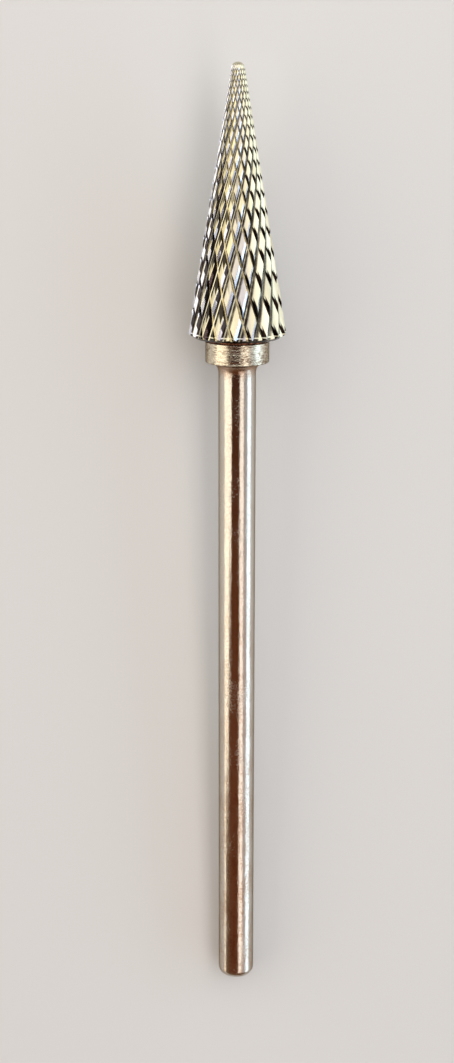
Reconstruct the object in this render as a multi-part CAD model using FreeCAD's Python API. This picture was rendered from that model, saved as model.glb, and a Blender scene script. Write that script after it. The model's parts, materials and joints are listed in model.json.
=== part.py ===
import FreeCAD, Part
import math
import os

from FreeCAD import Placement, Rotation, Vector

# A dental laboratory cutter: a cross-cut carbide cone, brazed onto a turned steel shank. Sizes are in millimetres.
# Stations are measured along the tool's axis from the rear face of the collar, and grow towards the tip.

# Shank and collar, turned in one piece from bar
shank_diameter = 2.35
grip_length = 42.2
grip_end_rounding = 0.55
collar_diameter = 4.0
collar_width = 1.36
collar_rear_break = 0.05
collar_front_bevel = 0.08
collar_root_fillet = 0.65
spigot_diameter = 1.6
spigot_length = 3.0
spigot_end_bevel = 0.15

# Braze that holds the head on the collar and the spigot
braze_film = 0.06
socket_clearance = 0.05
socket_end_gap = 0.1
bead_waist = 0.07

# Blank of the cutting head: a cone with a full round at the tip and a bevelled back
head_diameter = 6.1
head_length = 16.2
tip_diameter = 0.72
rim_land = 0.06
rear_bevel_length = 0.3
back_face_inset = 0.16
boss_inset = 0.2
boss_height = 0.1

# Flutes of the head: right-hand ones with a sloping back to each tooth, cut across by steep left-hand ones.
# The shares are of one pitch, measured across each set.
flute_count = 18
helix_angle = 15.7
flute_depth = 0.24
right_floor_share = 0.08
right_wall_share = 0.33
left_floor_share = 0.12
left_rise_share = 0.06
left_wall_share = 0.15

# Gap between the tooth points and the turned blank that trims both ends of the fluted cone
trim_clearance = 0.02

# Stations and radii that follow from these sizes
shank_radius = shank_diameter / 2
collar_radius = collar_diameter / 2
spigot_radius = spigot_diameter / 2
rim_radius = head_diameter / 2
boss_radius = collar_radius - boss_inset
back_face_radius = rim_radius - flute_depth - back_face_inset
tip_radius = tip_diameter / 2
socket_radius = spigot_radius + socket_clearance
grip_end_station = -grip_length
boss_station = collar_width + braze_film
back_station = boss_station + boss_height
rim_station = back_station + rear_bevel_length
tip_station = rim_station + head_length
spigot_end_station = collar_width + spigot_length
socket_end_station = spigot_end_station + socket_end_gap

# The cone through the tooth points. The rearmost ring of points stands just ahead of the rim.
point_ring_station = rim_station + rim_land
cone_angle = math.atan((rim_radius - tip_radius) / (tip_station - point_ring_station))
apex_station = point_ring_station + rim_radius / math.tan(cone_angle)

# On a cone a flute of constant helix angle turns by this much while the radius grows by the factor e
turn_rate = math.tan(math.radians(helix_angle)) / math.sin(cone_angle)
flute_pitch = 2 * math.pi / flute_count
ring_step = flute_pitch / 2 / turn_rate


def turned(outline):
    """Solid of revolution about the tool's axis. The outline is a list of edges in the plane of radius and station."""
    face = Part.Face(Part.Wire(outline))
    return face.revolve(Vector(0, 0, 0), Vector(0, 0, 1), 360)


def at(radius, station):
    return Vector(radius, 0, station)


def lines(*points):
    """Straight edges from each point to the next."""
    return [Part.makeLine(start, end) for start, end in zip(points, points[1:])]


def arc(start, middle, end):
    return Part.Arc(start, middle, end).toShape()


def rounding(start, centre, end):
    """Round between two points at the same distance from the centre, by the shorter way."""
    radius = (start - centre).Length
    towards_middle = start + end - centre * 2
    towards_middle.normalize()
    return arc(start, centre + towards_middle * radius, end)


def make_shank():
    end_centre = at(shank_radius - grip_end_rounding, grip_end_station + grip_end_rounding)
    grip_side = at(shank_radius, grip_end_station + grip_end_rounding)
    fillet_centre = at(shank_radius + collar_root_fillet, -collar_root_fillet)
    fillet_start = at(shank_radius, -collar_root_fillet)
    fillet_end = at(shank_radius + collar_root_fillet, 0)
    outline = lines(at(0, grip_end_station), at(shank_radius - grip_end_rounding, grip_end_station))
    outline.append(rounding(at(shank_radius - grip_end_rounding, grip_end_station), end_centre, grip_side))
    outline += lines(grip_side, fillet_start)
    outline.append(rounding(fillet_start, fillet_centre, fillet_end))
    outline += lines(
        fillet_end,
        at(collar_radius - collar_rear_break, 0),
        at(collar_radius, collar_rear_break),
        at(collar_radius, collar_width - collar_front_bevel),
        at(collar_radius - collar_front_bevel, collar_width),
        at(spigot_radius, collar_width),
        at(spigot_radius, spigot_end_station - spigot_end_bevel),
        at(spigot_radius - spigot_end_bevel, spigot_end_station),
        at(0, spigot_end_station),
        at(0, grip_end_station),
    )
    return turned(outline)


def make_braze_joint():
    """Film around the spigot and between the faces, with a hollow bead from the collar's bevel to the head's back."""
    bead_start = at(collar_radius, collar_width - collar_front_bevel)
    bead_end = at(collar_radius, back_station)
    bead_middle = at(collar_radius - bead_waist, (bead_start.z + bead_end.z) / 2)
    outline = lines(
        at(0, spigot_end_station),
        at(spigot_radius - spigot_end_bevel, spigot_end_station),
        at(spigot_radius, spigot_end_station - spigot_end_bevel),
        at(spigot_radius, collar_width),
        at(collar_radius - collar_front_bevel, collar_width),
        bead_start,
    )
    outline.append(arc(bead_start, bead_middle, bead_end))
    outline += lines(
        bead_end,
        at(boss_radius, back_station),
        at(boss_radius, boss_station),
        at(socket_radius, boss_station),
        at(socket_radius, socket_end_station),
        at(0, socket_end_station),
        at(0, spigot_end_station),
    )
    return turned(outline)


def make_head_blank():
    """The head before its flutes are cut, with the socket for the spigot."""
    blank_rim_radius = rim_radius + rim_land * math.tan(cone_angle) + trim_clearance
    round_radius = (tip_radius + trim_clearance) * math.cos(cone_angle) / (1 - math.sin(cone_angle))
    round_centre = at(0, tip_station - round_radius)
    round_start = round_centre + Vector(math.cos(cone_angle), 0, math.sin(cone_angle)) * round_radius
    outline = lines(
        at(0, socket_end_station),
        at(socket_radius, socket_end_station),
        at(socket_radius, boss_station),
        at(boss_radius, boss_station),
        at(boss_radius, back_station),
        at(back_face_radius, back_station),
        at(blank_rim_radius, rim_station),
        round_start,
    )
    outline.append(rounding(round_start, round_centre, at(0, tip_station)))
    outline += lines(at(0, tip_station), at(0, socket_end_station))
    return turned(outline)


def tooth_point(ring, index, right_share, left_share, depth=flute_depth):
    """Point on a tooth's patch of the fluted cone.

    The two shares run from 0 at the patch's front corner to 1 at its rear corner, across the right-hand and the
    left-hand set of flutes. Rings count from the rearmost ring of points towards the tip. The depth is below the
    cone of the tooth points and holds at the rearmost ring: like everything on the head, it shrinks with the
    distance from the cone's apex. Half a pitch of turn brings two points of that ring side by side under the axis.
    """
    right_phase = index - ring + right_share - (1 - right_wall_share)
    left_phase = left_share - index - (1 - left_wall_share)
    turn = (right_phase - left_phase + 1) * flute_pitch / 2
    scale = math.exp((right_phase + left_phase) * ring_step)
    radius = (rim_radius - depth * math.cos(cone_angle)) * scale
    behind_apex = (apex_station - point_ring_station + depth * math.sin(cone_angle)) * scale
    return Vector(radius * math.sin(turn), -radius * math.cos(turn), apex_station - behind_apex)


def facets(*corners):
    """Flat triangles that fan out from the first corner."""
    first = corners[0]
    return [
        Part.Face(Part.makePolygon([first, near, far, first]))
        for near, far in zip(corners[1:], corners[2:])
    ]


def tooth_facets(ring, index):
    """One tooth, with the floors of the flutes that run past its two front sides.

    Its back slopes up from the right-hand floor to a cutting edge along the next right-hand flute. The edge runs
    from the heel to the point, and both end steeply at the left-hand flutes.
    """

    def at_share(right_share, left_share, depth=flute_depth):
        return tooth_point(ring, index, right_share, left_share, depth)

    heel = at_share(1 - right_wall_share, left_floor_share + left_rise_share, 0)
    point = at_share(1 - right_wall_share, 1 - left_wall_share, 0)
    front = at_share(right_floor_share, left_floor_share)
    right_corner = at_share(1, left_floor_share)
    left_corner = at_share(right_floor_share, 1)
    rear = at_share(1, 1)
    floor_corner = at_share(0, 0)
    left_hand_floor_edge = at_share(right_floor_share, 0)
    right_hand_floor_edge = at_share(0, left_floor_share)
    back = facets(front, heel, point, left_corner)
    sides = facets(front, right_corner, heel) + facets(rear, point, heel, right_corner)
    sides += facets(rear, left_corner, point)
    crossing = facets(floor_corner, left_hand_floor_edge, front, right_hand_floor_edge)
    left_hand_floor = facets(left_hand_floor_edge, at_share(1, 0), right_corner, front)
    right_hand_floor = facets(right_hand_floor_edge, front, left_corner, at_share(0, 1))
    return back + sides + crossing + left_hand_floor + right_hand_floor


def end_facets(ring, shares, centre):
    """Triangles that close an end of the fluted cone. The shares lead along the open edge of each patch of a ring."""
    edge = [tooth_point(ring, index, *share) for index in range(flute_count) for share in shares]
    return [facet for near, far in zip(edge, edge[1:] + edge[:1]) for facet in facets(centre, near, far)]


def make_fluted_cone():
    """Closed solid of all the teeth, which runs on past both ends of the finished head."""
    rear_ring = -1
    front_ring = math.ceil(math.log(rim_radius / tip_radius) / ring_step) + 1
    faces = []
    for ring in range(rear_ring, front_ring + 1):
        for index in range(flute_count):
            faces += tooth_facets(ring, index)
    rear_edge = [(0, 1), (right_floor_share, 1), (1, 1), (1, left_floor_share)]
    front_edge = [(0, 1), (0, left_floor_share), (0, 0), (right_floor_share, 0)]
    faces += end_facets(rear_ring, rear_edge, at(0, 0))
    faces += end_facets(front_ring, front_edge, at(0, apex_station))
    return Part.Solid(Part.Shell(faces))


def make_cutter_head():
    return make_fluted_cone().common(make_head_blank()).Solids[0]


def resting_placement():
    """Lays the upright cutter along +Y with its tip ahead, the floor at Z = 0 and the origin at mid-length.

    It rests on two points of the rear ring and on the round at the end of the grip, so the floor is the common
    tangent of those points and of that round, and the axis rises a little towards the tip.
    """
    point_drop = rim_radius * math.cos(flute_pitch / 2)
    round_drop = shank_radius - grip_end_rounding
    round_station = grip_end_station + grip_end_rounding
    along = point_ring_station - round_station
    across = point_drop - round_drop
    rise = math.acos(grip_end_rounding / math.hypot(along, across)) - math.atan2(along, across)
    lift = point_drop * math.cos(rise) - point_ring_station * math.sin(rise)
    rear_reach = round_station * math.cos(rise) - round_drop * math.sin(rise) - grip_end_rounding
    front_reach = tip_station * math.cos(rise)
    middle = (rear_reach + front_reach) / 2
    return Placement(Vector(0, -middle, lift), Rotation(Vector(1, 0, 0), math.degrees(rise) - 90))


def export(name, shape, placement):
    shape.Placement = placement
    shape.exportStep("parts/" + name + ".step")


os.makedirs("parts", exist_ok=True)
placement = resting_placement()
export("shank", make_shank(), placement)
export("braze_joint", make_braze_joint(), placement)
export("cutter_head", make_cutter_head(), placement)
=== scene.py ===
import json
import math
import random

import bpy
from bpy.props import FloatProperty, FloatVectorProperty, IntProperty, PointerProperty
from bpy.types import Operator, Panel, PropertyGroup
from mathutils import Matrix, Vector


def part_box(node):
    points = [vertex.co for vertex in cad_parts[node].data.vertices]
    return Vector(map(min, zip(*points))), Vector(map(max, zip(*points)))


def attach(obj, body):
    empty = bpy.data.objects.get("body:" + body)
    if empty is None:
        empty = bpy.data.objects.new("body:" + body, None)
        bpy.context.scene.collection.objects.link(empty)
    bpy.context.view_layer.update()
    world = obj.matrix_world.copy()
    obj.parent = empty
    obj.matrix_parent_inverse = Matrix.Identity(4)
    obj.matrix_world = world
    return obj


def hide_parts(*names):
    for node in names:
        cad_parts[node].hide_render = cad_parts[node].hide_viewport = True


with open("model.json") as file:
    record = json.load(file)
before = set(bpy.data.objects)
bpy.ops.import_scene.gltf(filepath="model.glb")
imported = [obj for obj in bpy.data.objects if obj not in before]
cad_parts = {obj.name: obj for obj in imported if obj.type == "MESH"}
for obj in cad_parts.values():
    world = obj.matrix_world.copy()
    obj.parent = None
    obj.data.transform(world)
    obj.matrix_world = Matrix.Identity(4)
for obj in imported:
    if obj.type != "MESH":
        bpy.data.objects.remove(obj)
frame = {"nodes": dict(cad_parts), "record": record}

bl_info = {
    "name": "Dental Bur",
    "version": (1, 0, 0),
    "blender": (4, 5, 0),
    "location": "3D Viewport > Sidebar > Dental Bur",
    "description": "Finishes a cross-cut laboratory cutter and lights it in a plain studio",
    "category": "Object",
}

MM = 0.001

# The tool's axis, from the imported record's grip mount. Stations along it start at the collar's rear face.
GRIP = frame["record"]["mounts"][0]
GRIP_LENGTH = GRIP["dims"]["length_mm"] * MM
AXIS = -Vector(GRIP["axis"]).normalized()
SIDE = Vector((1, 0, 0))
ABOVE = SIDE.cross(AXIS)
COLLAR_FILLET = 0.65 * MM
COLLAR_PLACE = Vector(GRIP["pos_m"]) + AXIS * (GRIP_LENGTH / 2 + COLLAR_FILLET)

# Turn that lays an upright piece along the axis
ALONG_TOOL = (math.asin(AXIS.z) - math.pi / 2, 0, 0)

# Sizes of the shank and its collar
SHANK_RADIUS = GRIP["dims"]["r_mm"] * MM
COLLAR_RADIUS = (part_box("shank")[1][0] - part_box("shank")[0][0]) / 2
END_ROUNDING = 0.55 * MM
SHANK_END = -(COLLAR_FILLET + GRIP_LENGTH + END_ROUNDING)
COLLAR_WIDTH = 1.36 * MM
COLLAR_REAR_BREAK = 0.05 * MM
COLLAR_FRONT_BEVEL = 0.08 * MM
SPIGOT_RADIUS = 0.8 * MM
SPIGOT_END = 4.36 * MM
SPIGOT_BEVEL = 0.15 * MM

# Steps in the shank's roundings, the sharpest angle that is shaded smooth, how squarely a face lies across
# the axis to close the bar's end
ROUNDING_STEPS = 8
SMOOTH_WITHIN = math.radians(35)
SQUARE_ACROSS = 0.99

# Turning ridges on the collar: the shares of the pitch and of the depth that a groove and a crest may take,
# the room in pitches that the last ridge needs before the front bevel, and the seed of their chances
GROOVE_SHARES = ((0.4, 0.8), (0.3, 1.0))
CREST_SHARES = ((0.3, 0.6), (0.0, 0.25))
RIDGE_ROOM = 2.5
RIDGE_SEED = 5

# The cone through the tooth points, in millimetres along the axis, and the flute floors' share of its radius
CONE_APEX = 20.18
CONE_TAPER = 0.16667
FLOOR_SHARE = 0.92

# Stations of the rearmost ring of points and of the thin bright line on the rim, in millimetres
POINT_RING = 1.88
RIM_LINE = 1.84

# The grid of teeth: half the turn from one flute to the next, the growth of the cone from ring to ring as a
# logarithm, and where in its patch each set of flutes places a tooth's point
FLUTES = 18
HELIX_ANGLE = math.radians(15.7)
HALF_PITCH = math.pi / FLUTES
RING_STEP = HALF_PITCH * math.sin(math.atan(CONE_TAPER)) / math.tan(HELIX_ANGLE)
POINT_SHARES = (0.67, 0.85)

# How near the cone a cutting edge lies, as a share of its radius, and how near each other two points lie, and
# how nearly flat two facets, that become one
EDGE_SHARE = 0.985
WELD_GAP = 0.001 * MM
FLAT_WITHIN = math.radians(0.5)

# Patterns in the finishes: how often they repeat in a millimetre, their detail and their roughness
FILM_CLOUDS = ((1.6, 1.6, 0.5), 5.0, 0.7)
SPECKLE = (9.0, 4.0, 0.7)
HAZE = ((1.1, 1.1, 0.4), 3.0, 0.5)
POLISHING_RINGS = ((0.5, 0.5, 22.0), 3.0, 0.7)
POLISHING_WAVES = ((2.6, 2.6, 0.5), 5.0, 0.65)
TURNING_MARKS = ((4.0, 4.0, 13.0), 4.0, 0.7)
WORN_PATCHES = (1.6, 3.0, 0.6)
GRAIN = (26.0, 3.0, 0.6)
BLOTCHES = (2.2, 3.0, 0.6)
GRINDING_STREAKS = ((14.0, 14.0, 3.0), 3.0, 0.6)
BEAD_LUMPS = (5.0, 4.0, 0.6)

# Depths of the fine relief in the finishes, and the shares of the rings and the speckle in the grip's
STEEL_RELIEF = 0.012 * MM
CARBIDE_RELIEF = 0.0025 * MM
BRAZE_RELIEF = 0.03 * MM
RING_RELIEF = 0.14
SPECKLE_RELIEF = 0.22

# How far the speckle frays the heated zone, in millimetres, and how much the heat dulls the polish
HEAT_FRAY = 1.6
HEAT_HAZE = 0.3

# Least and greatest roughness of the grip's polish and of the collar's marks, as multiples of their settings
HAZE_ROUGHNESS = (0.8, 3.0)
MARK_ROUGHNESS = (0.7, 1.4)

# The pairs below are the values between which a finish changes. Its shares there follow them, unless they are
# 0 and 1.

# Radii where the grip's finish gives way to the collar's, in millimetres
COLLAR_FINISH_RADII = (1.45, 1.55)

# Stations, in millimetres
FILM_STATIONS = (-6.0, -40.0, 0.3, 1.0)
HEATED_STATIONS = (-0.4, 0.6)
WAVE_STATIONS = (0.0, -30.0, 0.7, 1.5)
# Stations of the painted golden reflection
GOLDEN_STATIONS = (4.0, 8.0, 0.0, 0.75)
# Stations where the painted shade on the teeth's fronts, the bare floors and the film and painted shade end
FRONT_SHADE_STATIONS = (13.5, 8.0, 0.15, 0.95)
BARE_FLOOR_STATIONS = (15.0, 11.0, 0.25, 1.0)
RESIDUE_AND_SHADE_STATIONS = (17.0, 11.0, 0.85, 1.0)
RESIDUE_AND_SHADE_END_STATIONS = (17.72, 17.55)
WORN_TIP_STATIONS = (17.5, 17.65)

# Levels of the patterns
FILM_LEVELS = (0.44, 0.6)
HAZE_LEVELS = (0.42, 0.8)
GROOVE_LEVELS = (0.6, 0.42)
WORN_LEVELS = (0.35, 0.6, 0.35, 1.0)
MARK_LEVELS = (0.3, 0.7)
# Levels of the blotches in the film and painted shade in the flutes
RESIDUE_AND_SHADE_LEVELS = (0.2, 0.6, 0.8, 1.0)
GRAIN_LEVELS = (0.3, 0.7, 0.8, 1.25)
SCALE_LEVELS = (0.4, 0.62)

# Chances of the single teeth
DULL_CHANCES = (0.3, 1.0, 0.0, 0.6)
COOL_CHANCES = (0.9, 0.4)

# How squarely a face looks outwards to be a flute's floor, and rightwards to be one of its walls
FLOOR_FACING = (0.9, 0.94)
RIGHT_WALL_FACING = (0.25, 0.4)
LEFT_WALL_FACING = (-0.55, -0.65)

# Depths, from 0 on the cone to 1 on the flutes' floors
FLOOR_DEPTHS = (0.8, 0.95)
# Depths where the film and painted shade in the flutes begin
RESIDUE_AND_SHADE_DEPTHS = (0.5, 0.8)
EDGE_DEPTHS = (0.3, 0.1)

# Places across the flutes of one set, as shares of a tooth's patch
BACK_SHARES = (0.7, 0.64)
EDGE_REACH = (0.07, 0.04)
RIGHT_HAND_FLOOR_SHARES = (0.11, 0.08)
# Where on a tooth the painted shade of the left side's fronts ends
FRONT_SHADE_SHARES = (0.5, 0.46)
# Where on a tooth the painted shade of its rear notches lies
NOTCH_LEFT_SHARES = (0.79, 0.84)
NOTCH_RIGHT_SHARES = (0.2, 0.45)

# Sides of the head, from -1 on its left to 1 on its right. They place less painted shade on the right, the
# bare floors, the painted shade on the teeth's fronts and in their notches, and the painted golden and bluish
# reflections
LESS_SHADE_SIDE = (0.1, 0.6, 0.0, 0.13)
BARE_FLOOR_SIDE = (0.9, 0.1, 0.05, 0.65)
FRONT_SHADE_SIDE = (0.0, -0.15)
NOTCHED_SIDE = (-0.25, 0.15)
GOLDEN_SIDE = (0.2, -0.5)
COOL_MIDDLE = -0.1
COOL_REACH = (0.38, 0.1)

# Reach of the rim's bright line in millimetres, and its strength, the share of film and painted shade that it
# takes away
RIM_LINE_REACH = (0.05, 0.03)
RIM_LINE_STRENGTH = 0.8

# How much less film and painted shade lies on the backs, and how far a tooth's chance moves the side with
# painted shade on its teeth's fronts
BACK_CLEARANCE = 0.12
FRONT_SHADE_CHANCE = 0.4

# How metallic the dullest backs and the braze look
BACK_METAL = 0.6
BRAZE_METAL = 0.8

# Spread of the small leans that tell one tooth from the next
TOOTH_LEAN = 0.16

# The room, by how far a direction points towards the tip or upwards
END_WALL_REACH = (-0.25, 0.2)
CORNER_REACH = (-0.15, -0.5)
CEILING_REACH = (0.15, 0.75)

# Width of the camera's film in millimetres, and the nearest and farthest that it sees in metres
FILM_WIDTH = 36
NEAR_LIMIT = 0.005
FAR_LIMIT = 20

# The floor's side in metres and its roughness
FLOOR_SIDE = 3
FLOOR_ROUGHNESS = 0.7

# The lamps' distance from the axis, the softbox's side and station, and the strip lamps' ends, in metres
LAMP_DISTANCE = 0.4
SOFTBOX_SIDE = 0.6
MIDDLE_STATION = -12 * MM
STRIP_FRONT = 0.45
STRIP_REAR = -0.45

# Strip lamps: name, angle from straight up and half width in degrees, rear end, and the settings they follow
STRIPS = (
    ("left_high_lamp", -44, 8, -0.17, "left"),
    ("left_middle_lamp", -63, 11, -0.24, "left"),
    ("left_low_lamp", -80, 6, STRIP_REAR, "left"),
    ("top_lamp", 29.5, 12.5, STRIP_REAR, "top"),
    ("gap_lamp", 54, 10, STRIP_REAR, "gap"),
    ("right_lamp", 84, 18, STRIP_REAR, "right"),
)


def on_axis(station):
    return COLLAR_PLACE + AXIS * station


def around_axis(angle):
    """Direction square to the axis. The angle turns from straight up towards +X."""
    return ABOVE * math.cos(angle) + SIDE * math.sin(angle)


def colour_setting(name, description, default):
    return FloatVectorProperty(
        name=name, description=description, subtype="COLOR", size=3, min=0, max=1, default=default
    )


def share_setting(name, description, default):
    return FloatProperty(name=name, description=description, subtype="FACTOR", min=0, max=1, default=default)


def angle_setting(name, description, degrees):
    return FloatProperty(name=name, description=description, subtype="ANGLE", default=math.radians(degrees))


def length_setting(name, description, default):
    return FloatProperty(
        name=name, description=description, subtype="DISTANCE", unit="LENGTH", default=default, precision=5
    )


def brightness_setting(lamp, default):
    return FloatProperty(name=lamp + " brightness", description="Brightness of its face", default=default)


class SteelSettings(PropertyGroup):
    sides: IntProperty(name="Sides", description="Faces around the shank", min=24, max=256, default=128)
    ridge_pitch: length_setting("Ridge pitch", "Average spacing of the collar's turning ridges", 0.075 * MM)
    ridge_depth: length_setting("Ridge depth", "Greatest depth of the collar's turning ridges", 0.012 * MM)
    colour: colour_setting("Steel", "Colour of the polished shank", (0.68, 0.64, 0.58))
    edge_tint: colour_setting("Edge tint", "Tint of the steel at a grazing view", (0.42, 0.38, 0.31))
    collar_colour: colour_setting("Collar", "Colour of the turned collar's ridges", (0.82, 0.76, 0.62))
    collar_dark: colour_setting("Collar grooves", "Colour of the turned collar's grooves", (0.27, 0.2, 0.14))
    stain: colour_setting("Stain", "Colour of the thin brown film on the grip", (0.42, 0.25, 0.15))
    film: share_setting("Film", "Strength of the brown film on the grip", 0.6)
    heat: share_setting("Heat tint", "Strength of the brown tint where brazing heated the steel", 0.75)
    roughness: share_setting("Roughness", "Roughness of the polished grip", 0.105)
    collar_roughness: share_setting("Collar roughness", "Roughness of the turned collar", 0.2)


class CarbideSettings(PropertyGroup):
    edge_width: length_setting("Edge width", "Width of the land on the rearmost cutting edges", 0.03 * MM)
    colour: colour_setting("Carbide", "Colour of the teeth's sloping backs", (0.92, 0.87, 0.65))
    dull_colour: colour_setting("Dull backs", "Colour of the duller sloping backs", (0.68, 0.62, 0.42))
    # Bluish tint painted on some backs along the middle, a painted reflection of the cool lamp
    cool_colour: colour_setting("Cool backs", "Colour of the backs with a bluish film", (0.5, 0.49, 0.58))
    # Golden tint painted on the left side's backs, a painted warm reflection
    golden_colour: colour_setting("Golden backs", "Colour of the backs with golden film", (0.86, 0.76, 0.42))
    tip_colour: colour_setting("Tip", "Colour of the worn round at the tip", (0.6, 0.56, 0.42))
    # Bluish white, a painted reflection of the cool lamp on the walls that face right
    wall_colour: colour_setting("Walls", "Colour of the flute walls that face right", (0.8, 0.83, 0.95))
    floor_colour: colour_setting("Floors", "Colour of the flutes' ground floors", (0.78, 0.66, 0.38))
    # Near black, for the dark film and the painted shade in the flutes and on the teeth
    residue_and_shade_colour: colour_setting("Gullet", "Colour of the dark residue in the flutes", (0.016, 0.009, 0.007))
    # Strength of the painted bluish reflection on the backs
    cool_glint_strength: share_setting("Bluish film", "Strength of the bluish film on the backs", 0.85)
    roughness: share_setting("Roughness", "Roughness of the sloping backs", 0.4)
    wall_roughness: share_setting("Wall roughness", "Roughness of the flute walls", 0.22)


class BrazeSettings(PropertyGroup):
    colour: colour_setting("Braze", "Colour of the braze bead", (0.36, 0.13, 0.06))
    scale_colour: colour_setting("Scale", "Colour of the dark scale on the bead", (0.07, 0.03, 0.02))
    roughness: share_setting("Roughness", "Roughness of the bead", 0.42)


class StudioSettings(PropertyGroup):
    floor_colour: colour_setting("Floor", "Colour of the floor", (0.68, 0.68, 0.69))
    ceiling_colour: colour_setting("Ceiling", "Colour of the dim ceiling", (0.02, 0.009, 0.006))
    corner_colour: colour_setting("Corner", "Colour of the ceiling past the shank", (0.15, 0.046, 0.018))
    wall_colour: colour_setting("Walls", "Colour of the room near the horizon", (0.45, 0.43, 0.4))
    end_wall_colour: colour_setting("End wall", "Colour of the wall past the shank's end", (0.2, 0.13, 0.08))
    left_colour: colour_setting("Left lamps", "Colour of the three warm lamps on the left", (1.0, 0.93, 0.79))
    top_colour: colour_setting("Top lamp", "Colour of the narrow upper lamp", (1.0, 0.94, 0.86))
    gap_colour: colour_setting("Gap lamp", "Colour of the dim lamp between top and right", (0.95, 0.97, 1.0))
    right_colour: colour_setting("Right lamp", "Colour of the low cool lamp", (0.68, 0.86, 1.0))
    softbox_colour: colour_setting("Softbox", "Colour of the large lamp beyond the tip", (1.0, 0.98, 0.95))
    left_brightness: brightness_setting("Left", 1.6)
    top_brightness: brightness_setting("Top", 1.4)
    gap_brightness: brightness_setting("Gap", 0.45)
    right_brightness: brightness_setting("Right", 2.0)
    softbox_brightness: brightness_setting("Softbox", 1.2)
    softbox_rise: angle_setting("Softbox rise", "Height of the softbox above the tool's axis", 52)
    swing: angle_setting("Swing", "Turn of the camera and lamps about the tool's axis", -5.5)
    pitch: angle_setting("Pitch", "Lean of the view towards the tip", 14.92)
    roll: angle_setting("Roll", "Roll of the camera", 0.043)
    aim_station: length_setting("Aim", "Station that the camera stands over", 17.04 * MM)
    distance: length_setting("Distance", "Distance from the axis to the camera", 105.07 * MM)
    sidestep: length_setting("Sidestep", "Sideways shift of the camera", 0.63 * MM)
    lens: FloatProperty(name="Lens", description="Focal length of the camera", unit="CAMERA", default=57.57)


class BurSettings(PropertyGroup):
    steel: PointerProperty(type=SteelSettings)
    carbide: PointerProperty(type=CarbideSettings)
    braze: PointerProperty(type=BrazeSettings)
    studio: PointerProperty(type=StudioSettings)


def rgba(colour):
    return (*colour, 1.0)


class Wiring:
    """Adds and joins the nodes of one material or world."""

    def __init__(self, owner):
        owner.use_nodes = True
        self.tree = owner.node_tree
        self.tree.nodes.clear()

    def node(self, kind, inputs=None, **settings):
        made = self.tree.nodes.new(kind)
        for name, value in settings.items():
            setattr(made, name, value)
        for name, value in (inputs or {}).items():
            self.feed(made.inputs[name], value)
        return made

    def feed(self, socket, value):
        if isinstance(value, bpy.types.NodeSocket):
            self.tree.links.new(value, socket)
        else:
            socket.default_value = value

    def math(self, operation, first, second=0.0):
        return self.node("ShaderNodeMath", {0: first, 1: second}, operation=operation).outputs[0]

    def plus(self, first, second):
        return self.math("ADD", first, second)

    def less(self, first, second):
        return self.math("SUBTRACT", first, second)

    def over(self, first, second):
        return self.math("DIVIDE", first, second)

    def times(self, first, *factors):
        for factor in factors:
            first = self.math("MULTIPLY", first, factor)
        return first

    def most(self, first, *others):
        for other in others:
            first = self.math("MAXIMUM", first, other)
        return first

    def rest(self, share):
        """What a share leaves of the whole."""
        return self.less(1.0, share)

    def vector_math(self, operation, first, second=(0, 0, 0)):
        made = self.node("ShaderNodeVectorMath", {0: first, 1: second}, operation=operation)
        return made.outputs["Value"] if operation in ("LENGTH", "DOT_PRODUCT") else made.outputs["Vector"]

    def scaled(self, vector, scale):
        return self.vector_math("MULTIPLY", vector, scale)

    def split(self, vector):
        return self.node("ShaderNodeSeparateXYZ", {0: vector}).outputs

    def noise(self, place, scale, detail, roughness):
        """Noise at a place. The scale is one number, or one for each direction."""
        if isinstance(scale, tuple):
            place, scale = self.scaled(place, scale), 1.0
        inputs = {"Vector": place, "Scale": scale, "Detail": detail, "Roughness": roughness}
        return self.node("ShaderNodeTexNoise", inputs).outputs["Fac"]

    def spread(self, value, low, high, new_low=0.0, new_high=1.0):
        """Maps a range to another, smoothly and clamped."""
        inputs = {"Value": value, "From Min": low, "From Max": high, "To Min": new_low, "To Max": new_high}
        return self.node("ShaderNodeMapRange", inputs, interpolation_type="SMOOTHSTEP").outputs["Result"]

    def near(self, value, centre, outer, inner):
        """1 within the inner distance from the centre, and 0 beyond the outer one."""
        return self.spread(self.math("ABSOLUTE", self.less(value, centre)), outer, inner)

    def mix(self, share, first, second):
        """Mixes two numbers."""
        return self.node("ShaderNodeMix", {0: share, 2: first, 3: second}).outputs[0]

    def blend(self, share, first, second):
        """Mixes two colours."""
        return self.node("ShaderNodeMix", {0: share, 6: first, 7: second}, data_type="RGBA").outputs[2]

    def bump(self, height, depth, normal=None):
        inputs = {"Height": height, "Distance": depth}
        if normal is not None:
            inputs["Normal"] = normal
        return self.node("ShaderNodeBump", inputs).outputs["Normal"]

    def on_tool(self):
        """Place on the tool in millimetres: X to the side, Y down and Z the station."""
        place = self.node("ShaderNodeTexCoord").outputs["Object"]
        inputs = {"Vector": place, "Location": COLLAR_PLACE, "Rotation": ALONG_TOOL, "Scale": (MM, MM, MM)}
        return self.node("ShaderNodeMapping", inputs, vector_type="TEXTURE").outputs["Vector"]

    def turned_normal(self):
        """Surface normal in the same axes as on_tool."""
        normal = self.node("ShaderNodeNewGeometry").outputs["True Normal"]
        inputs = {"Vector": normal, "Rotation": (-ALONG_TOOL[0], 0, 0)}
        return self.node("ShaderNodeMapping", inputs, vector_type="VECTOR").outputs["Vector"]

    def surface(self, **sockets):
        shader = self.node("ShaderNodeBsdfPrincipled")
        for name, value in sockets.items():
            self.feed(shader.inputs[name.replace("_", " ")], value)
        output = self.node("ShaderNodeOutputMaterial")
        self.tree.links.new(shader.outputs[0], output.inputs["Surface"])


def new_material(name):
    material = bpy.data.materials.new(name)
    return material, Wiring(material)


def dress(mesh, material):
    mesh.materials.clear()
    mesh.materials.append(material)


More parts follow.
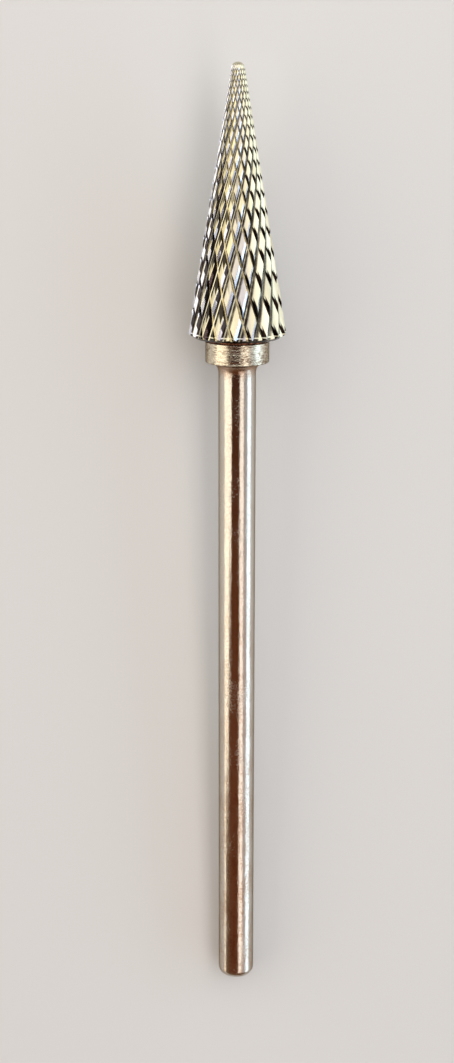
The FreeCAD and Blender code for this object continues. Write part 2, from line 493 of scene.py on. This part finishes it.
def finish_piece(piece, node, material):
    """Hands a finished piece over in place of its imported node."""
    dress(piece.data, material)
    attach(piece, "root")
    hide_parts(node)


def cone_share(place):
    """Where a place lies against the cone of the tooth points.

    The first number is its radius as a share of the cone's there. The second is the cone's size there as a
    share of its size at the rearmost ring of points.
    """
    station = (place - COLLAR_PLACE).dot(AXIS) / MM
    radius = (place - on_axis(station * MM)).length / MM
    return radius / ((CONE_APEX - station) * CONE_TAPER), (CONE_APEX - station) / (CONE_APEX - POINT_RING)


def mark_cutting_edges(mesh):
    """Weighs each cutting edge for the bevel, in proportion to its tooth."""
    mesh.update()
    weights = mesh.attributes.new("bevel_weight_edge", "FLOAT", "EDGE")
    for edge in mesh.edges:
        ends = [cone_share(mesh.vertices[corner].co) for corner in edge.vertices]
        if min(share for share, size in ends) > EDGE_SHARE:
            weights.data[edge.index].value = sum(size for share, size in ends) / len(ends)


def grind_head(edge_width):
    """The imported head's own teeth, welded from loose triangles, with a narrow land on each cutting edge."""
    mesh = frame["nodes"]["cutter_head"].data.copy()
    mesh.name = "ground_head"
    head = bpy.data.objects.new("ground_head", mesh)
    bpy.context.scene.collection.objects.link(head)
    bpy.ops.object.select_all(action="DESELECT")
    head.select_set(True)
    bpy.context.view_layer.objects.active = head
    bpy.ops.mesh.customdata_custom_splitnormals_clear()
    bpy.ops.object.mode_set(mode="EDIT")
    bpy.ops.mesh.select_all(action="SELECT")
    bpy.ops.mesh.remove_doubles(threshold=WELD_GAP)
    bpy.ops.mesh.dissolve_limited(angle_limit=FLAT_WITHIN)
    bpy.ops.object.mode_set(mode="OBJECT")
    mark_cutting_edges(mesh)
    bpy.ops.object.modifier_add(type="BEVEL")
    land = head.modifiers[-1]
    land.limit_method = "WEIGHT"
    land.width = edge_width
    land.segments = 1
    land.use_clamp_overlap = False
    bpy.ops.object.modifier_apply(modifier=land.name)
    bpy.ops.object.shade_flat()
    return head


class Lathe:
    """Turns a bar along the tool's axis. Its selected end face is carried on from ring to ring."""

    def __init__(self, name, start, end, radius, sides):
        bpy.ops.object.select_all(action="DESELECT")
        middle = on_axis((start + end) / 2)
        bpy.ops.mesh.primitive_cylinder_add(
            vertices=sides, radius=radius, depth=end - start, location=middle, rotation=ALONG_TOOL
        )
        self.piece = bpy.context.object
        self.piece.name = name
        self.piece.data.name = name
        bpy.ops.object.transform_apply(location=True, rotation=True, scale=True)
        self.station = end
        self.radius = radius

    def select_end(self, facing):
        """Selects the face that closes the bar's front, or its rear with -1 as facing."""
        bpy.ops.object.mode_set(mode="EDIT")
        bpy.ops.mesh.select_mode(type="FACE")
        bpy.ops.mesh.select_all(action="DESELECT")
        bpy.ops.object.mode_set(mode="OBJECT")
        for face in self.piece.data.polygons:
            face.select = face.normal.dot(AXIS) * facing > SQUARE_ACROSS
        bpy.ops.object.mode_set(mode="EDIT")

    def round_rear(self, radius):
        self.select_end(-1)
        bpy.ops.mesh.bevel(offset=radius, segments=ROUNDING_STEPS, profile=0.5, affect="EDGES")

    def turn_to(self, station, radius):
        bpy.ops.mesh.extrude_region_move(TRANSFORM_OT_translate={"value": AXIS * (station - self.station)})
        factor = radius / self.radius
        bpy.ops.transform.resize(value=(factor, factor, factor), center_override=on_axis(station))
        self.station = station
        self.radius = radius

    def finished(self):
        bpy.ops.object.mode_set(mode="OBJECT")
        bpy.ops.object.shade_smooth_by_angle(angle=SMOOTH_WITHIN)
        return self.piece


def turn_collar(lathe, ridge_pitch, ridge_depth):
    """The collar, with turning ridges of uneven pitch and depth."""
    lathe.turn_to(0, COLLAR_RADIUS - COLLAR_REAR_BREAK)
    lathe.turn_to(COLLAR_REAR_BREAK, COLLAR_RADIUS)
    chance = random.Random(RIDGE_SEED)
    front_edge = COLLAR_WIDTH - COLLAR_FRONT_BEVEL
    while lathe.station < front_edge - RIDGE_ROOM * ridge_pitch:
        for widths, depths in (GROOVE_SHARES, CREST_SHARES):
            station = lathe.station + ridge_pitch * chance.uniform(*widths)
            lathe.turn_to(station, COLLAR_RADIUS - ridge_depth * chance.uniform(*depths))
    lathe.turn_to(front_edge, COLLAR_RADIUS)
    lathe.turn_to(COLLAR_WIDTH, COLLAR_RADIUS - COLLAR_FRONT_BEVEL)


def turn_shank(sides, ridge_pitch, ridge_depth):
    """The grip with its rounded end, the fillet, the collar and the hidden spigot."""
    lathe = Lathe("turned_shank", SHANK_END, -COLLAR_FILLET, SHANK_RADIUS, sides)
    lathe.round_rear(END_ROUNDING)
    lathe.select_end(1)
    for step in range(1, ROUNDING_STEPS + 1):
        angle = math.pi / 2 * step / ROUNDING_STEPS
        rise = COLLAR_FILLET * (1 - math.cos(angle))
        lathe.turn_to(-COLLAR_FILLET * (1 - math.sin(angle)), SHANK_RADIUS + rise)
    turn_collar(lathe, ridge_pitch, ridge_depth)
    lathe.turn_to(COLLAR_WIDTH, SPIGOT_RADIUS)
    lathe.turn_to(SPIGOT_END - SPIGOT_BEVEL, SPIGOT_RADIUS)
    lathe.turn_to(SPIGOT_END, SPIGOT_RADIUS - SPIGOT_BEVEL)
    return lathe.finished()


def grip_finish(w, place, settings):
    """Polished steel in fine waves, under a brown film that grows to the rear and where brazing heated it."""
    station = w.split(place)["Z"]
    speckle = w.noise(place, *SPECKLE)
    clouds = w.times(w.plus(w.noise(place, *FILM_CLOUDS), speckle), 0.5)
    film = w.times(w.spread(clouds, *FILM_LEVELS), w.spread(station, *FILM_STATIONS), settings.film)
    heated = w.spread(w.plus(station, w.times(speckle, HEAT_FRAY)), *HEATED_STATIONS)
    brown = w.most(film, w.times(heated, settings.heat))
    colour = w.blend(brown, rgba(settings.colour), rgba(settings.stain))
    haze = w.plus(w.noise(place, *HAZE), w.less(speckle, 0.5))
    haze = w.plus(haze, w.times(heated, HEAT_HAZE))
    clearest, haziest = (settings.roughness * factor for factor in HAZE_ROUGHNESS)
    roughness = w.spread(haze, *HAZE_LEVELS, clearest, haziest)
    rings = w.times(w.noise(place, *POLISHING_RINGS), RING_RELIEF)
    relief = w.plus(rings, w.times(speckle, SPECKLE_RELIEF))
    waves = w.times(w.noise(place, *POLISHING_WAVES), w.spread(station, *WAVE_STATIONS))
    return colour, roughness, w.plus(relief, waves)


def collar_finish(w, place, settings):
    """Bright turning marks, with dark grooves between them in uneven patches."""
    marks = w.noise(place, *TURNING_MARKS)
    patches = w.spread(w.noise(place, *WORN_PATCHES), *WORN_LEVELS)
    grooves = w.times(w.spread(marks, *GROOVE_LEVELS), patches)
    colour = w.blend(grooves, rgba(settings.collar_colour), rgba(settings.collar_dark))
    smoothest, roughest = (settings.collar_roughness * factor for factor in MARK_ROUGHNESS)
    return colour, w.spread(marks, *MARK_LEVELS, smoothest, roughest), marks


def steel_material(settings):
    """The grip's finish and the collar's, which meet on the fillet between them."""
    material, w = new_material("turned_steel")
    place = w.on_tool()
    on_collar = w.spread(w.vector_math("LENGTH", w.scaled(place, (1, 1, 0))), *COLLAR_FINISH_RADII)
    grip_colour, grip_roughness, grip_relief = grip_finish(w, place, settings)
    collar_colour, collar_roughness, collar_relief = collar_finish(w, place, settings)
    w.surface(
        Base_Color=w.blend(on_collar, grip_colour, collar_colour),
        Metallic=1.0,
        Roughness=w.mix(on_collar, grip_roughness, collar_roughness),
        Normal=w.bump(w.mix(on_collar, grip_relief, collar_relief), STEEL_RELIEF),
        Specular_Tint=rgba(settings.edge_tint),
    )
    return material


class HeadPlaces:
    """Where a place on the head lies: along the tool, round it, in its tooth and on which face."""

    def __init__(self, w):
        self.place = w.on_tool()
        across, below, self.station = w.split(self.place)
        spoke = w.scaled(self.place, (1, 1, 0))
        radius = w.vector_math("LENGTH", spoke)
        cone_radius = w.times(w.less(CONE_APEX, self.station), CONE_TAPER)
        self.depth = w.spread(w.over(radius, cone_radius), 1.0, FLOOR_SHARE)
        self.flank = w.over(across, radius)
        self.tip = w.spread(self.station, *WORN_TIP_STATIONS)
        self.count_teeth(w, across, below)
        self.tell_faces(w, w.vector_math("NORMALIZE", spoke))

    def count_teeth(self, w, across, below):
        """Each tooth's own chance, and its shares across the right-hand and left-hand flutes, from 0 to 1."""
        turn = w.math("ARCTAN2", across, w.times(below, -1.0))
        growth = w.over(w.less(CONE_APEX, self.station), CONE_APEX - POINT_RING)
        rings = w.over(w.math("LOGARITHM", growth, math.e), RING_STEP)
        flutes = w.less(w.over(turn, HALF_PITCH), 1.0)
        right = w.plus(w.times(w.plus(rings, flutes), 0.5), POINT_SHARES[0])
        left = w.plus(w.times(w.less(rings, flutes), 0.5), POINT_SHARES[1])
        cell = w.node("ShaderNodeCombineXYZ", {0: w.math("FLOOR", right), 1: w.math("FLOOR", left)})
        self.chance = w.node("ShaderNodeTexWhiteNoise", {"Vector": cell.outputs[0]}).outputs["Color"]
        self.first_chance = w.split(self.chance)["X"]
        self.right_share = w.math("FRACT", right)
        self.left_share = w.math("FRACT", left)

    def tell_faces(self, w, outward):
        """Flutes' floors, and walls that face right and left, seen from outside with the tip upwards."""
        normal = w.turned_normal()
        rightward = w.vector_math("CROSS_PRODUCT", (0, 0, 1), outward)
        facing_right = w.vector_math("DOT_PRODUCT", normal, rightward)
        facing_out = w.vector_math("DOT_PRODUCT", normal, outward)
        self.floor = w.times(w.spread(facing_out, *FLOOR_FACING), w.spread(self.depth, *FLOOR_DEPTHS))
        self.right_wall = w.spread(facing_right, *RIGHT_WALL_FACING)
        self.left_wall = w.spread(facing_right, *LEFT_WALL_FACING)


def film_and_painted_shade(w, head):
    """Dark film and painted shade on the head.

    The film and painted shade lie deep in the flutes. Painted shade also darkens their walls that face left,
    the front halves of the left side's teeth and the notches between the right side's, and lies less on the
    right side. The cutting edges, the rim's line and the tip are bare.
    """
    blotches = w.noise(head.place, *BLOTCHES)
    on_back = w.spread(head.right_share, *BACK_SHARES)
    # Depth of the film and painted shade: darker deep in the flutes, lighter on the backs
    dark_depth = w.less(head.depth, w.times(on_back, BACK_CLEARANCE))
    # Less painted shade on the right side of the head
    dark_depth = w.less(dark_depth, w.spread(head.flank, *LESS_SHADE_SIDE))
    in_flutes = w.times(w.spread(dark_depth, *RESIDUE_AND_SHADE_DEPTHS), w.spread(blotches, *RESIDUE_AND_SHADE_LEVELS))
    # Painted shade on the front halves of the left side's teeth
    shaded_flank = w.spread(w.plus(head.flank, w.times(head.first_chance, FRONT_SHADE_CHANCE)), *FRONT_SHADE_SIDE)
    shaded_flank = w.times(shaded_flank, w.spread(head.station, *FRONT_SHADE_STATIONS))
    front_shade = w.times(w.spread(head.left_share, *FRONT_SHADE_SHARES), shaded_flank)
    # Painted shade in the notches at the rears of the right side's teeth
    notch_shade = w.times(w.spread(head.left_share, *NOTCH_LEFT_SHARES), w.spread(head.flank, *NOTCHED_SIDE))
    notch_shade = w.times(notch_shade, w.spread(head.right_share, *NOTCH_RIGHT_SHARES))
    grime_and_shade = w.most(in_flutes, w.most(front_shade, notch_shade))
    # Floors on the left side and towards the rim stay bare of the film and painted shade
    bare_floor = w.times(head.floor, w.spread(w.plus(head.flank, blotches), *BARE_FLOOR_SIDE))
    bare_floor = w.times(bare_floor, w.spread(head.station, *BARE_FLOOR_STATIONS))
    # Walls that face left are darkened wholly, as painted shade
    residue_and_shade = w.most(w.times(grime_and_shade, w.rest(bare_floor)), head.left_wall)
    # The cutting edges stay bright, without film and painted shade
    edge = w.near(head.right_share, POINT_SHARES[0], *EDGE_REACH)
    bright_edge = w.times(edge, w.spread(head.depth, *EDGE_DEPTHS), w.rest(notch_shade))
    residue_and_shade = w.times(residue_and_shade, w.rest(bright_edge), w.spread(head.station, *RESIDUE_AND_SHADE_END_STATIONS))
    rim_line = w.times(w.near(head.station, RIM_LINE, *RIM_LINE_REACH), RIM_LINE_STRENGTH)
    return w.times(residue_and_shade, w.spread(head.station, *RESIDUE_AND_SHADE_STATIONS), w.rest(rim_line))


def carbide_with_painted_reflections(w, head, settings):
    """Colour of the bare carbide on the backs, on the walls that face right and on the floors, with painted
    reflections: golden on the left side's backs, bluish on some backs along the middle and on the walls that
    face right.
    """
    dull = w.spread(head.first_chance, *DULL_CHANCES)
    # Painted bluish reflection on some backs along the middle
    cool = w.times(w.near(head.flank, COOL_MIDDLE, *COOL_REACH), settings.cool_glint_strength)
    cool = w.times(cool, w.spread(head.first_chance, *COOL_CHANCES))
    # Painted golden reflection on the backs of the left side, from the fourth millimetre on
    golden = w.times(w.spread(head.flank, *GOLDEN_SIDE), w.spread(head.station, *GOLDEN_STATIONS))
    back = w.blend(dull, rgba(settings.colour), rgba(settings.dull_colour))
    back = w.blend(cool, back, rgba(settings.cool_colour))
    back = w.blend(golden, back, rgba(settings.golden_colour))
    back = w.blend(head.tip, back, rgba(settings.tip_colour))
    right_hand_floor = w.spread(head.right_share, *RIGHT_HAND_FLOOR_SHARES)
    floor = w.blend(right_hand_floor, rgba(settings.floor_colour), rgba(settings.colour))
    # Walls that face right take the painted bluish reflection
    return w.blend(head.floor, w.blend(head.right_wall, back, rgba(settings.wall_colour)), floor)


def carbide_material(settings):
    """Satin backs that each lean a little, brighter walls and floors, painted golden and bluish reflections,
    and dark film with painted shade in the flutes and on the teeth.
    """
    material, w = new_material("ground_carbide")
    head = HeadPlaces(w)
    residue_and_shade = film_and_painted_shade(w, head)
    shine = w.most(head.right_wall, head.floor, residue_and_shade, head.tip)
    roughness = w.spread(shine, 0.0, 1.0, settings.roughness, settings.wall_roughness)
    grain = w.spread(w.noise(head.place, *GRAIN), *GRAIN_LEVELS)
    stray = w.vector_math("SUBTRACT", head.chance, (0.5, 0.5, 0.5))
    face = w.node("ShaderNodeNewGeometry").outputs["True Normal"]
    leaned = w.vector_math("ADD", face, w.scaled(stray, (TOOTH_LEAN, TOOTH_LEAN, TOOTH_LEAN)))
    streaks = w.noise(head.place, *GRINDING_STREAKS)
    w.surface(
        # The dark film and painted shade take the near-black colour of the gullets
        Base_Color=w.blend(residue_and_shade, carbide_with_painted_reflections(w, head, settings), rgba(settings.residue_and_shade_colour)),
        Metallic=w.spread(shine, 0.0, 1.0, BACK_METAL, 1.0),
        Roughness=w.times(roughness, grain),
        Normal=w.bump(streaks, CARBIDE_RELIEF, w.vector_math("NORMALIZE", leaned)),
    )
    return material


def braze_material(settings):
    """Brown metal with dark scale in its lumps."""
    material, w = new_material("braze_bead")
    lumps = w.noise(w.on_tool(), *BEAD_LUMPS)
    scale = w.spread(lumps, *SCALE_LEVELS)
    w.surface(
        Base_Color=w.blend(scale, rgba(settings.colour), rgba(settings.scale_colour)),
        Metallic=BRAZE_METAL,
        Roughness=settings.roughness,
        Normal=w.bump(lumps, BRAZE_RELIEF),
    )
    return material


def lay_floor(colour):
    bpy.ops.object.select_all(action="DESELECT")
    bpy.ops.mesh.primitive_plane_add(size=FLOOR_SIDE)
    floor = bpy.context.object
    floor.name = "floor"
    material, w = new_material("pale_floor")
    w.surface(Base_Color=rgba(colour), Roughness=FLOOR_ROUGHNESS)
    floor.data.materials.append(material)


def set_view(studio):
    """Camera over the tool, square to its length apart from the pitch. The picture is 454 by 1063 pixels."""
    outward = around_axis(studio.swing)
    sight = -(outward * math.cos(studio.pitch) + AXIS * math.sin(studio.pitch))
    up = AXIS * math.cos(studio.pitch) - outward * math.sin(studio.pitch)
    right = sight.cross(up)
    place = on_axis(studio.aim_station) + outward * studio.distance - right * studio.sidestep
    data = bpy.data.cameras.new("photo_view")
    data.sensor_fit = "AUTO"
    data.sensor_width = FILM_WIDTH
    data.lens = studio.lens
    data.clip_start = NEAR_LIMIT
    data.clip_end = FAR_LIMIT
    camera = bpy.data.objects.new("photo_view", data)
    bpy.context.scene.collection.objects.link(camera)
    turn = Matrix((right, up, -sight)).transposed().to_4x4()
    camera.matrix_world = Matrix.Translation(place) @ turn @ Matrix.Rotation(studio.roll, 4, "Z")
    bpy.context.scene.camera = camera


def add_lamp(name, outward, across, size, colour, brightness, station=MIDDLE_STATION):
    """Rectangular lamp that faces the tool's axis at a station. The size runs across first, then up."""
    data = bpy.data.lights.new(name, "AREA")
    data.shape = "RECTANGLE"
    data.size, data.size_y = size
    data.color = colour
    data.energy = brightness * math.pi * data.size * data.size_y
    lamp = bpy.data.objects.new(name, data)
    bpy.context.scene.collection.objects.link(lamp)
    turn = Matrix((across, outward.cross(across), outward)).transposed().to_4x4()
    lamp.matrix_world = Matrix.Translation(on_axis(station) + outward * LAMP_DISTANCE) @ turn
    lamp.visible_camera = False


def add_strip_lamp(name, angle, half_width, rear, colour, brightness):
    """Long lamp beside the tool and parallel to it, from its rear station to far beyond the tip."""
    outward = around_axis(angle)
    size = (2 * LAMP_DISTANCE * math.tan(half_width), STRIP_FRONT - rear)
    add_lamp(name, outward, AXIS.cross(outward), size, colour, brightness, (STRIP_FRONT + rear) / 2)


def add_softbox(name, rise, colour, brightness):
    """Square lamp beyond the tip. The rise is its height above the tool's axis, as an angle."""
    outward = AXIS * math.cos(rise) + ABOVE * math.sin(rise)
    add_lamp(name, outward, -SIDE, (SOFTBOX_SIDE, SOFTBOX_SIDE), colour, brightness)


def set_world(studio):
    """Walls near the horizon under a dim ceiling, both browner beyond the shank's end."""
    world = bpy.data.worlds.new("room")
    bpy.context.scene.world = world
    w = Wiring(world)
    direction = w.split(w.node("ShaderNodeTexCoord").outputs["Generated"])
    lengthwise, upward = direction["Y"], direction["Z"]
    ahead = w.spread(lengthwise, *END_WALL_REACH)
    wall = w.blend(ahead, rgba(studio.end_wall_colour), rgba(studio.wall_colour))
    far_behind = w.spread(lengthwise, *CORNER_REACH)
    ceiling = w.blend(far_behind, rgba(studio.ceiling_colour), rgba(studio.corner_colour))
    colour = w.blend(w.spread(upward, *CEILING_REACH), wall, ceiling)
    background = w.node("ShaderNodeBackground", {"Color": colour, "Strength": 1.0})
    output = w.node("ShaderNodeOutputWorld")
    w.tree.links.new(background.outputs[0], output.inputs["Surface"])


class BUR_OT_shank(Operator):
    """Turns the shank with its collar and gives it polished steel."""

    bl_idname = "bur.shank"
    bl_label = "Finish the shank"

    def execute(self, context):
        steel = context.scene.bur.steel
        shank = turn_shank(steel.sides, steel.ridge_pitch, steel.ridge_depth)
        finish_piece(shank, "shank", steel_material(steel))
        return {"FINISHED"}


class BUR_OT_head(Operator):
    """Grinds the lands on the head's cutting edges and gives it its carbide."""

    bl_idname = "bur.head"
    bl_label = "Finish the cutting head"

    def execute(self, context):
        carbide = context.scene.bur.carbide
        finish_piece(grind_head(carbide.edge_width), "cutter_head", carbide_material(carbide))
        return {"FINISHED"}


class BUR_OT_braze(Operator):
    """Gives the braze bead its brown metal."""

    bl_idname = "bur.braze"
    bl_label = "Finish the braze"

    def execute(self, context):
        dress(frame["nodes"]["braze_joint"].data, braze_material(context.scene.bur.braze))
        return {"FINISHED"}


class BUR_OT_studio(Operator):
    """Adds the floor, the lamps, the room and the camera."""

    bl_idname = "bur.studio"
    bl_label = "Set the studio"

    def execute(self, context):
        studio = context.scene.bur.studio
        lay_floor(studio.floor_colour)
        for name, angle, half_width, rear, lamp in STRIPS:
            colour = getattr(studio, lamp + "_colour")
            brightness = getattr(studio, lamp + "_brightness")
            angle = studio.swing + math.radians(angle)
            add_strip_lamp(name, angle, math.radians(half_width), rear, colour, brightness)
        add_softbox("tip_softbox", studio.softbox_rise, studio.softbox_colour, studio.softbox_brightness)
        set_world(studio)
        set_view(studio)
        return {"FINISHED"}


class BUR_PT_panel(Panel):
    """Lists the steps that finish the dental bur."""

    bl_idname = "BUR_PT_panel"
    bl_label = "Dental Bur"
    bl_space_type = "VIEW_3D"
    bl_region_type = "UI"
    bl_category = "Dental Bur"

    def draw(self, context):
        for step in STEPS:
            self.layout.operator(step.bl_idname)


SETTINGS = (SteelSettings, CarbideSettings, BrazeSettings, StudioSettings, BurSettings)
STEPS = (BUR_OT_shank, BUR_OT_head, BUR_OT_braze, BUR_OT_studio)


def register():
    for kind in (*SETTINGS, *STEPS, BUR_PT_panel):
        bpy.utils.register_class(kind)
    bpy.types.Scene.bur = PointerProperty(type=BurSettings)


def unregister():
    del bpy.types.Scene.bur
    for kind in reversed((*SETTINGS, *STEPS, BUR_PT_panel)):
        bpy.utils.unregister_class(kind)


def main():
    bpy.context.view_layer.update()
    register()
    bpy.context.scene.view_settings.view_transform = "Standard"
    bpy.ops.bur.shank()
    bpy.ops.bur.head()
    bpy.ops.bur.braze()
    bpy.ops.bur.studio()


if __name__ == "__main__":
    main()
